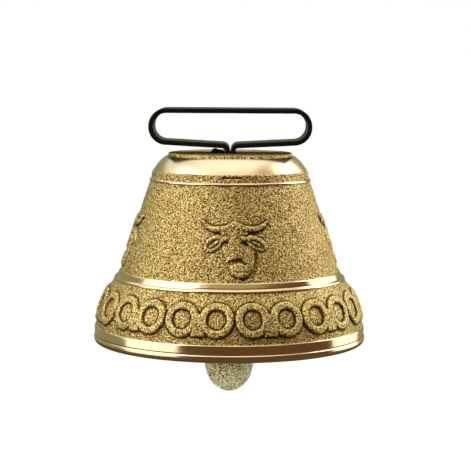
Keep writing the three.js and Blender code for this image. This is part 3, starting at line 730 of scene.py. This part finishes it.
def hanger_pin():
    """A pin along X with a domed head at each end."""
    under_head = pin_high.x - PIN_HEAD_THICKNESS
    rise = PIN_HEAD_THICKNESS - PIN_HEAD_EDGE
    wider, long = PIN_FILLET
    upper = [[PIN_RADIUS, 0], [PIN_RADIUS, under_head - long], [PIN_RADIUS + wider, under_head],
             [PIN_HEAD_RADIUS - PIN_HEAD_CHAMFER, under_head],
             [PIN_HEAD_RADIUS, under_head + PIN_HEAD_CHAMFER]]
    upper += [[PIN_HEAD_RADIUS * math.cos(a), under_head + PIN_HEAD_EDGE + rise * math.sin(a)]
              for a in np.linspace(0, math.pi / 2, 10)]
    upper[-1][0] = 0
    lower = [[radius, -height] for radius, height in reversed(upper[1:])]
    piece = turned_piece("hanger_pin_steel", lower + upper, PIN_COLUMNS, plain_steel("pin_steel"), "bell",
                         "hanger_pin", axis="X")
    for vertex in piece.data.vertices:
        vertex.co.z += PIN_Z * MM


def clapper_link():
    """A closed wire link, round over the pin and flat along its lower bar."""
    top = PIN_RADIUS + FIT_GAP + LINK_WIRE
    arc = np.linspace(0, math.pi, 40)
    over = np.column_stack([-top * np.cos(arc), PIN_Z + top * np.sin(arc)])
    lower = rounded_path([(top, PIN_Z, 0), (LINK_HALF_WIDTH, LINK_BAR_Z, LINK_BEND),
                          (-LINK_HALF_WIDTH, LINK_BAR_Z, LINK_BEND), (-top, PIN_Z, 0)])
    path = np.vstack([over, resample(lower, WIRE_STEP)[1:-1]])
    around = np.arange(WIRE_SIDES) * TAU / WIRE_SIDES
    section = LINK_WIRE * np.column_stack([np.cos(around), np.sin(around)])
    rings = swept(path, section, closed=True)
    faces = grid_faces(len(path), len(section), close_rows=True)
    piece = make_mesh("clapper_link_wire", rings.reshape(-1, 3), faces[:, ::-1])
    piece.data.materials.append(plain_steel("link_steel"))
    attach(piece, "link")
    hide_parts("clapper_link")


def carried_over(node, material):
    """Gives a CAD node a finish, smooth sides and softened edges."""
    piece = frame["nodes"][node]
    piece.data.materials.clear()
    piece.data.materials.append(material)
    bevel = piece.modifiers.new("edges", "BEVEL")
    bevel.width = SOFT_EDGE * MM
    bevel.segments = 2
    bevel.limit_method = "ANGLE"
    bevel.angle_limit = math.radians(SOFT_EDGE_ANGLE)
    piece.data.polygons.foreach_set("use_smooth", np.ones(len(piece.data.polygons), bool))


# ---- Materials ----

class Nodes:
    """A material's node tree with its principled shader, and short calls for what the finishes need.

    A socket's name is written with underscores for its spaces, and noise and bump sizes are in millimetres.
    """

    def __init__(self, name):
        self.material = bpy.data.materials.new(name)
        self.material.use_nodes = True
        self.tree = self.material.node_tree
        self.shader = self.tree.nodes["Principled BSDF"]
        self.place = self.tree.nodes.new("ShaderNodeTexCoord").outputs["Object"]

    def set(self, node, inputs):
        """Links each input that is given a socket and sets the others."""
        for key, value in inputs.items():
            socket = node.inputs[key.replace("_", " ")]
            if isinstance(value, bpy.types.NodeSocket):
                self.tree.links.new(value, socket)
            else:
                socket.default_value = value

    def new(self, kind, **inputs):
        node = self.tree.nodes.new(kind)
        self.set(node, inputs)
        return node

    def noise(self, size, detail=3.0, stretch=(1, 1, 1)):
        """Noise with lumps of about that size, longer along an axis whose stretch is below 1."""
        mapping = self.new("ShaderNodeMapping", Vector=self.place)
        mapping.inputs["Scale"].default_value = tuple(s / (size * MM) for s in stretch)
        texture = self.new("ShaderNodeTexNoise", Vector=mapping.outputs["Vector"], Scale=1.0, Detail=detail)
        return texture.outputs["Fac"]

    def ramp(self, value, stops):
        """Colours, or greys given as one number, at their places along a value from 0 to 1."""
        node = self.new("ShaderNodeValToRGB", Fac=value)
        elements = node.color_ramp.elements
        while len(elements) < len(stops):
            elements.new(0.5)
        for element, (position, colour) in zip(elements, stops):
            element.position = position
            element.color = (*colour, 1) if len(colour) == 3 else (colour[0],) * 3 + (1,)
        return node.outputs["Color"]

    def times(self, a, b):
        """One colour multiplied by another."""
        node = self.tree.nodes.new("ShaderNodeMix")
        node.data_type = "RGBA"
        node.blend_type = "MULTIPLY"
        factor, first, second = node.inputs[0], node.inputs[6], node.inputs[7]
        factor.default_value = 1.0
        self.tree.links.new(a, first)
        self.tree.links.new(b, second)
        return node.outputs[2]

    def bump(self, height, distance, strength):
        node = self.new("ShaderNodeBump", Height=height, Distance=distance * MM, Strength=strength)
        return node.outputs["Normal"]

    def finish(self, **inputs):
        self.set(self.shader, inputs)
        return self.material


def rough_brass(name, low, high, metal):
    """Sand-cast brass: a pebbled skin with painted shade in its pits and painted highlight on its pebbles,
    darkened in its hollows by patina and painted shade, and lightened on its high places by rubbing and
    painted highlight.
    """
    n = Nodes(name)
    grain = n.noise(0.55, detail=1.0)
    base = n.ramp(n.noise(9.0, detail=4.0), [(0.3, low), (0.7, high)])
    # Painted shade in the pebbles' pits and painted highlight on their tops, from the same noise as the bump.
    pebble_shade_and_highlight = n.ramp(grain, [(0.36, (0.16, 0.12, 0.08)), (0.49, (0.86,)), (0.63, (1.75,))])
    # The stored heights give patina and painted shade in the hollows, and wear and painted highlight on the
    # high places.
    relief_patina_and_shade = n.new("ShaderNodeAttribute")
    relief_patina_and_shade.attribute_name = "relief_patina_and_shade"
    place = n.new("ShaderNodeMapRange", Value=relief_patina_and_shade.outputs["Fac"], From_Min=-0.45, From_Max=0.35)
    patina_and_shade_tint = n.ramp(place.outputs["Result"],
                    [(0.0, (0.12, 0.08, 0.05)), (0.38, (0.58, 0.5, 0.42)), (0.56, (1.0,)), (0.85, (1.35,))])
    colour = n.times(n.times(base, pebble_shade_and_highlight), patina_and_shade_tint)
    rough = n.ramp(n.noise(1.3), [(0.3, (0.30,)), (0.7, (0.44,))])
    normal = n.bump(grain, 0.6, strength=1.0)
    return n.finish(Base_Color=colour, Metallic=metal, Roughness=rough, Normal=normal)


def turned_brass(name, smoothest, roughest):
    """Lathe-turned brass between two roughnesses, with the tool's fine rings and a few rubbed patches."""
    n = Nodes(name)
    rings = n.noise(0.25, detail=2.0, stretch=(0.004, 0.004, 1.0))
    colour = n.ramp(n.noise(14.0), [(0.3, (0.85, 0.65, 0.41)), (0.7, (0.89, 0.73, 0.46))])
    patches = n.noise(2.5, stretch=(0.15, 0.15, 1.0))
    rough = n.ramp(patches, [(0.3, (smoothest,)), (0.75, (roughest,))])
    normal = n.bump(rings, 0.012, strength=0.6)
    return n.finish(Base_Color=colour, Metallic=1.0, Roughness=rough, Normal=normal)


def inner_brass():
    """The inside, left as cast: darker and duller."""
    n = Nodes("bell_inner_brass")
    colour = n.ramp(n.noise(7.0, detail=4.0), [(0.3, (0.38, 0.29, 0.13)), (0.7, (0.55, 0.44, 0.22))])
    normal = n.bump(n.noise(0.8), 0.15, strength=0.8)
    return n.finish(Base_Color=colour, Metallic=1.0, Roughness=0.6, Normal=normal)


def black_lacquer():
    """Black stoved lacquer on steel, a little uneven in its gloss."""
    n = Nodes("loop_black_lacquer")
    colour = n.ramp(n.noise(5.0, detail=4.0), [(0.3, (0.005, 0.002, 0.003)), (0.7, (0.011, 0.005, 0.006))])
    rough = n.ramp(n.noise(1.6), [(0.3, (0.28,)), (0.7, (0.42,))])
    normal = n.bump(n.noise(1.0), 0.03, strength=0.5)
    return n.finish(Base_Color=colour, Roughness=rough, Normal=normal, Specular_IOR_Level=0.3)


def plain_steel(name):
    """Dull bare steel."""
    n = Nodes(name)
    colour = n.ramp(n.noise(4.0, detail=4.0), [(0.3, (0.30, 0.28, 0.26)), (0.7, (0.46, 0.45, 0.43))])
    rough = n.ramp(n.noise(1.2), [(0.3, (0.32,)), (0.7, (0.5,))])
    normal = n.bump(n.noise(0.4, detail=2.0), 0.02, strength=0.5)
    return n.finish(Base_Color=colour, Metallic=1.0, Roughness=rough, Normal=normal)


# ---- Studio ----

def bearing(azimuth, elevation, distance):
    """A place round the bell: azimuth 0 is in front of it, and 90 is at its right."""
    a, e = math.radians(azimuth), math.radians(elevation)
    return Vector((distance * math.cos(e) * math.sin(a), -distance * math.cos(e) * math.cos(a),
                   distance * math.sin(e))) + TARGET


def soft_box(name, azimuth, elevation, size, glow):
    """An even light of that brightness facing the bell, where 1 is white."""
    data = bpy.data.lights.new(name, "AREA")
    data.shape = "RECTANGLE"
    data.size, data.size_y = size
    data.energy = glow * math.pi * size[0] * size[1]
    light = bpy.data.objects.new(name, data)
    light.location = bearing(azimuth, elevation, BOX_DISTANCE)
    light.rotation_euler = (TARGET - light.location).to_track_quat("-Z", "Y").to_euler()
    bpy.context.scene.collection.objects.link(light)


def square(half, height):
    """The corners of a level square with the bell's axis at its middle."""
    return [(-half, -half, height), (half, -half, height), (half, half, height), (-half, half, height)]


def reflection_glow_card(name, colour, points, faces):
    """A card that glows in its colour where only reflections see it: a painted reflection on the shiny metal,
    standing where a studio sets up its cards.
    """
    card = bpy.data.objects.new(name, bpy.data.meshes.new(name))
    card.data.from_pydata(points, [], faces)
    bpy.context.scene.collection.objects.link(card)
    n = Nodes(name + "_card")
    n.finish(Base_Color=(0, 0, 0, 1), Roughness=1.0, Emission_Color=(*colour, 1), Emission_Strength=1.0)
    card.data.materials.append(n.material)
    card.visible_camera = False
    card.visible_shadow = False
    card.visible_diffuse = False


def curved_reflection_glow_card(name, colour, start, end, low, high):
    """A card bent round the bell from one azimuth to another, between two heights."""
    points = []
    for azimuth in np.linspace(start, end, REFLECTION_CARD_PLACES):
        place = bearing(azimuth, 0, REFLECTION_CARD_DISTANCE)
        points += [(place.x, place.y, low), (place.x, place.y, high)]
    faces = [(2 * k, 2 * k + 2, 2 * k + 3, 2 * k + 1) for k in range(REFLECTION_CARD_PLACES - 1)]
    reflection_glow_card(name, colour, points, faces)


def seen_by_camera(tree):
    """1 for rays from the camera, off a mirror or through glass, and 0 for the rest."""
    path = tree.nodes.new("ShaderNodeLightPath")
    seen = path.outputs["Is Camera Ray"]
    for ray in ("Is Glossy Ray", "Is Transmission Ray"):
        most = tree.nodes.new("ShaderNodeMath")
        most.operation = "MAXIMUM"
        tree.links.new(seen, most.inputs[0])
        tree.links.new(path.outputs[ray], most.inputs[1])
        seen = most.outputs[0]
    return seen


def white_world():
    """White behind everything, and dimmer as a light on the bell."""
    world = bpy.data.worlds.new("studio")
    bpy.context.scene.world = world
    world.use_nodes = True
    tree = world.node_tree
    background = tree.nodes["Background"]
    background.inputs["Color"].default_value = (1, 1, 1, 1)
    level = tree.nodes.new("ShaderNodeMapRange")
    level.inputs["To Min"].default_value = AMBIENT
    tree.links.new(seen_by_camera(tree), level.inputs["Value"])
    tree.links.new(level.outputs["Result"], background.inputs["Strength"])


def floor():
    """A matt white floor well below the bell, lifted to the background's white."""
    piece = bpy.data.objects.new("floor", bpy.data.meshes.new("floor"))
    piece.data.from_pydata(square(FLOOR_HALF, FLOOR_Z), [], [(0, 1, 2, 3)])
    bpy.context.scene.collection.objects.link(piece)
    n = Nodes("floor_white")
    lift = n.new("ShaderNodeMapRange", Value=seen_by_camera(n.tree), To_Max=FLOOR_GLOW)
    n.finish(Base_Color=(0.9, 0.9, 0.9, 1), Roughness=0.9, Emission_Color=(1, 1, 1, 1),
             Emission_Strength=lift.outputs["Result"])
    piece.data.materials.append(n.material)


def studio():
    """A white sweep with three soft boxes, and glowing cards that paint the brass's reflections, such as the
    turned brass's dark stretches.
    """
    white_world()
    floor()
    soft_box("left_box", azimuth=-68, elevation=20, size=(1.0, 1.2), glow=1.5)
    soft_box("right_box", azimuth=116, elevation=18, size=(0.75, 1.1), glow=1.55)
    soft_box("top_box", azimuth=0, elevation=86, size=(0.95, 0.85), glow=0.35)
    # Glowing cards whose colours paint the brass's reflections: dark brown in front and below, gold above and
    # olive behind.
    curved_reflection_glow_card("front_painted_reflection", (0.12, 0.06, 0.022), start=-40, end=95, low=-0.45, high=1.02)
    curved_reflection_glow_card("upper_painted_reflection", (0.52, 0.44, 0.20), start=-25, end=92, low=1.02, high=2.6)
    curved_reflection_glow_card("back_painted_reflection", (0.28, 0.29, 0.17), start=95, end=320, low=-0.45, high=0.75)
    reflection_glow_card("table_painted_reflection", (0.09, 0.06, 0.032), square(REFLECTION_CARD_DISTANCE, TABLE_REFLECTION_Z), [(0, 1, 2, 3)])


def camera():
    """The bell's own width fills a little over half of the picture, seen from just above its loop."""
    data = bpy.data.cameras.new("camera")
    data.lens = CAMERA_LENS
    data.sensor_width = 36.0
    data.clip_start = 0.01
    eye = bpy.data.objects.new("camera", data)
    bpy.context.scene.collection.objects.link(eye)
    tilt = Matrix.Rotation(math.radians(90 - CAMERA_TILT), 4, "X")
    roll = Matrix.Rotation(math.radians(CAMERA_ROLL), 4, "Z")
    eye.matrix_world = Matrix.Translation(CAMERA_PLACE) @ (tilt @ roll)
    bpy.context.scene.camera = eye
    bpy.context.scene.view_settings.view_transform = "Standard"


# ---- The bell ----

bell_shell()
strap_loop()
clapper_ball()
hanger_pin()
clapper_link()
carried_over("neck_wedge", black_lacquer())
carried_over("crown_washer", plain_steel("washer_steel"))
carried_over("clapper_rod", plain_steel("rod_steel"))
studio()
camera()
